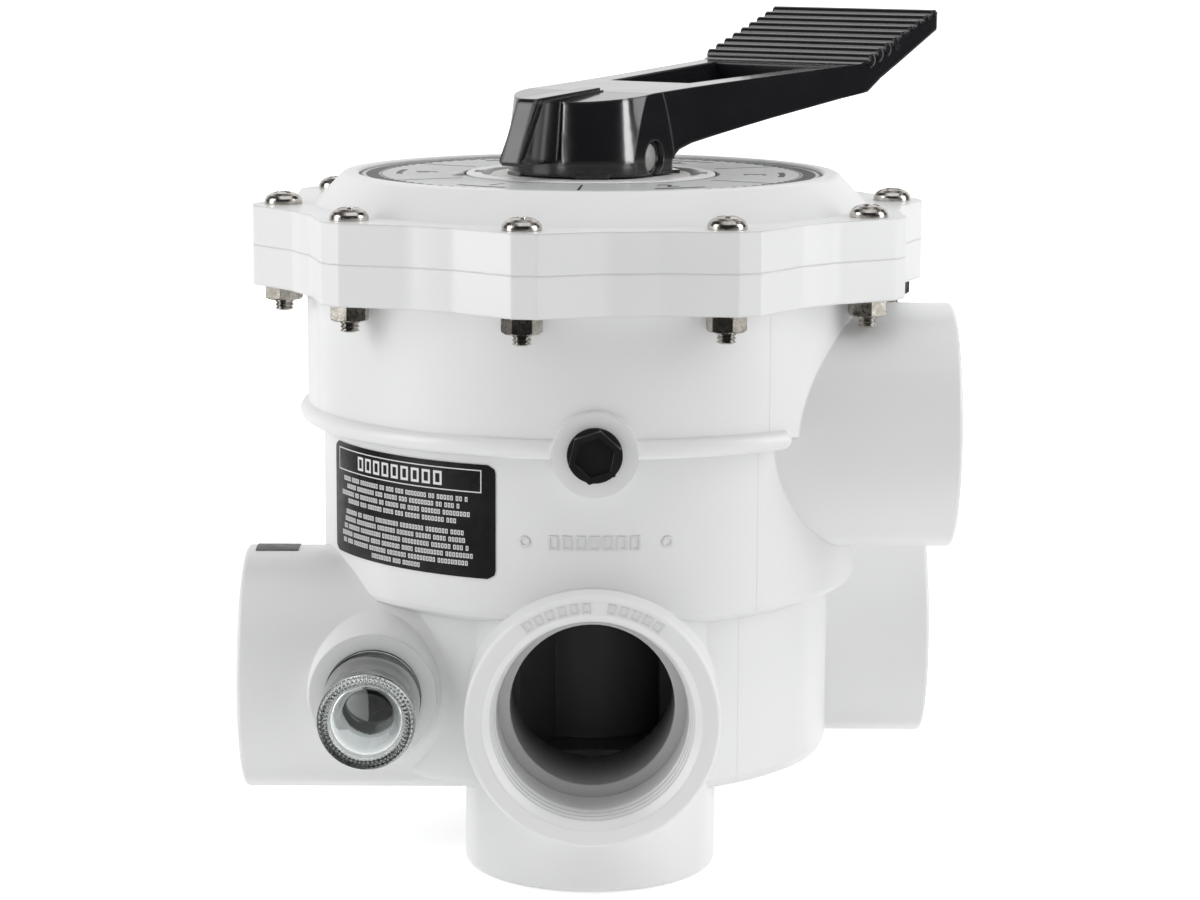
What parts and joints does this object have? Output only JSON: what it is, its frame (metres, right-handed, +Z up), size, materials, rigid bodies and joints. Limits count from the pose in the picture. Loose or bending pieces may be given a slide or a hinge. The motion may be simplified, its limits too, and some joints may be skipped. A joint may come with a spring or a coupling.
{
  "type": "multiport valve",
  "caption": "Lever-operated multiport valve for a pool filter: press the lever down to lift its rotor, turn it to a position, let go to seal.",
  "frame": {"origin": "on the stem axis, in the plane of the bottom port's mouth", "axes": "+Z up along the stem axis, -Y out of the front (filter inlet) port, +X towards the pump and return ports"},
  "size_m": [0.2415, 0.2806, 0.27],
  "materials": {
    "white_plastic": "satin moulded ABS",
    "plate_grey": "printed satin plate",
    "stainless": "bright stainless fastener",
    "black_plastic": "satin",
    "rubber": "matt",
    "clear_plastic": "clear, polished",
    "grey_plastic": "satin glass-filled plastic",
    "spring_steel": "drawn wire",
    "nylon": "natural nylon",
    "handle_black": "high gloss",
    "label_film": "satin printed film",
    "sticker_film": "satin film"
  },
  "bodies": {
    "body": {"valve_body": "white_plastic", "cover": "white_plastic", "position_plate": "plate_grey", "plate_peg": "white_plastic", "cover_screws": "stainless", "cover_nuts": "stainless", "gauge_plug": "black_plastic", "gauge_plug_seal": "rubber", "sight_glass": "clear_plastic", "sight_glass_seal": "rubber", "cover_o_ring": "rubber", "stem_o_rings": "rubber", "seat_gasket": "rubber", "body_label": "label_film", "port_sticker": "sticker_film"},
    "turning_carrier": {"handle_washer": "nylon", "spring_upper_washer": "nylon", "spring": "spring_steel"},
    "rotor": {"rotor": "grey_plastic", "spring_lower_washer": "nylon", "handle_pin": "stainless"},
    "handle": {"handle": "handle_black"}
  },
  "joints": [
    {"name": "handle_turn", "type": "hinge", "parent": "body", "child": "turning_carrier", "pos_m": [0, 0, 0.2182], "axis": [0, 0, 1], "continuous": true},
    {"name": "rotor_lift", "type": "slide", "parent": "turning_carrier", "child": "rotor", "axis": [0, 0, 1], "range_m": [0, 0.0046], "stiffness_N_per_m": 1500, "springref_m": -0.01, "deforming": ["spring"]},
    {"name": "handle_press", "type": "hinge", "parent": "rotor", "child": "handle", "pos_m": [0, 0, 0.2257], "axis": [-0.8339, 0.5519, 0], "range_deg": [0, 12.5]}
  ],
  "couplings": [
    {"joint": "rotor_lift", "follows": "handle_press", "m_per_rad": 0.021}
  ]
}
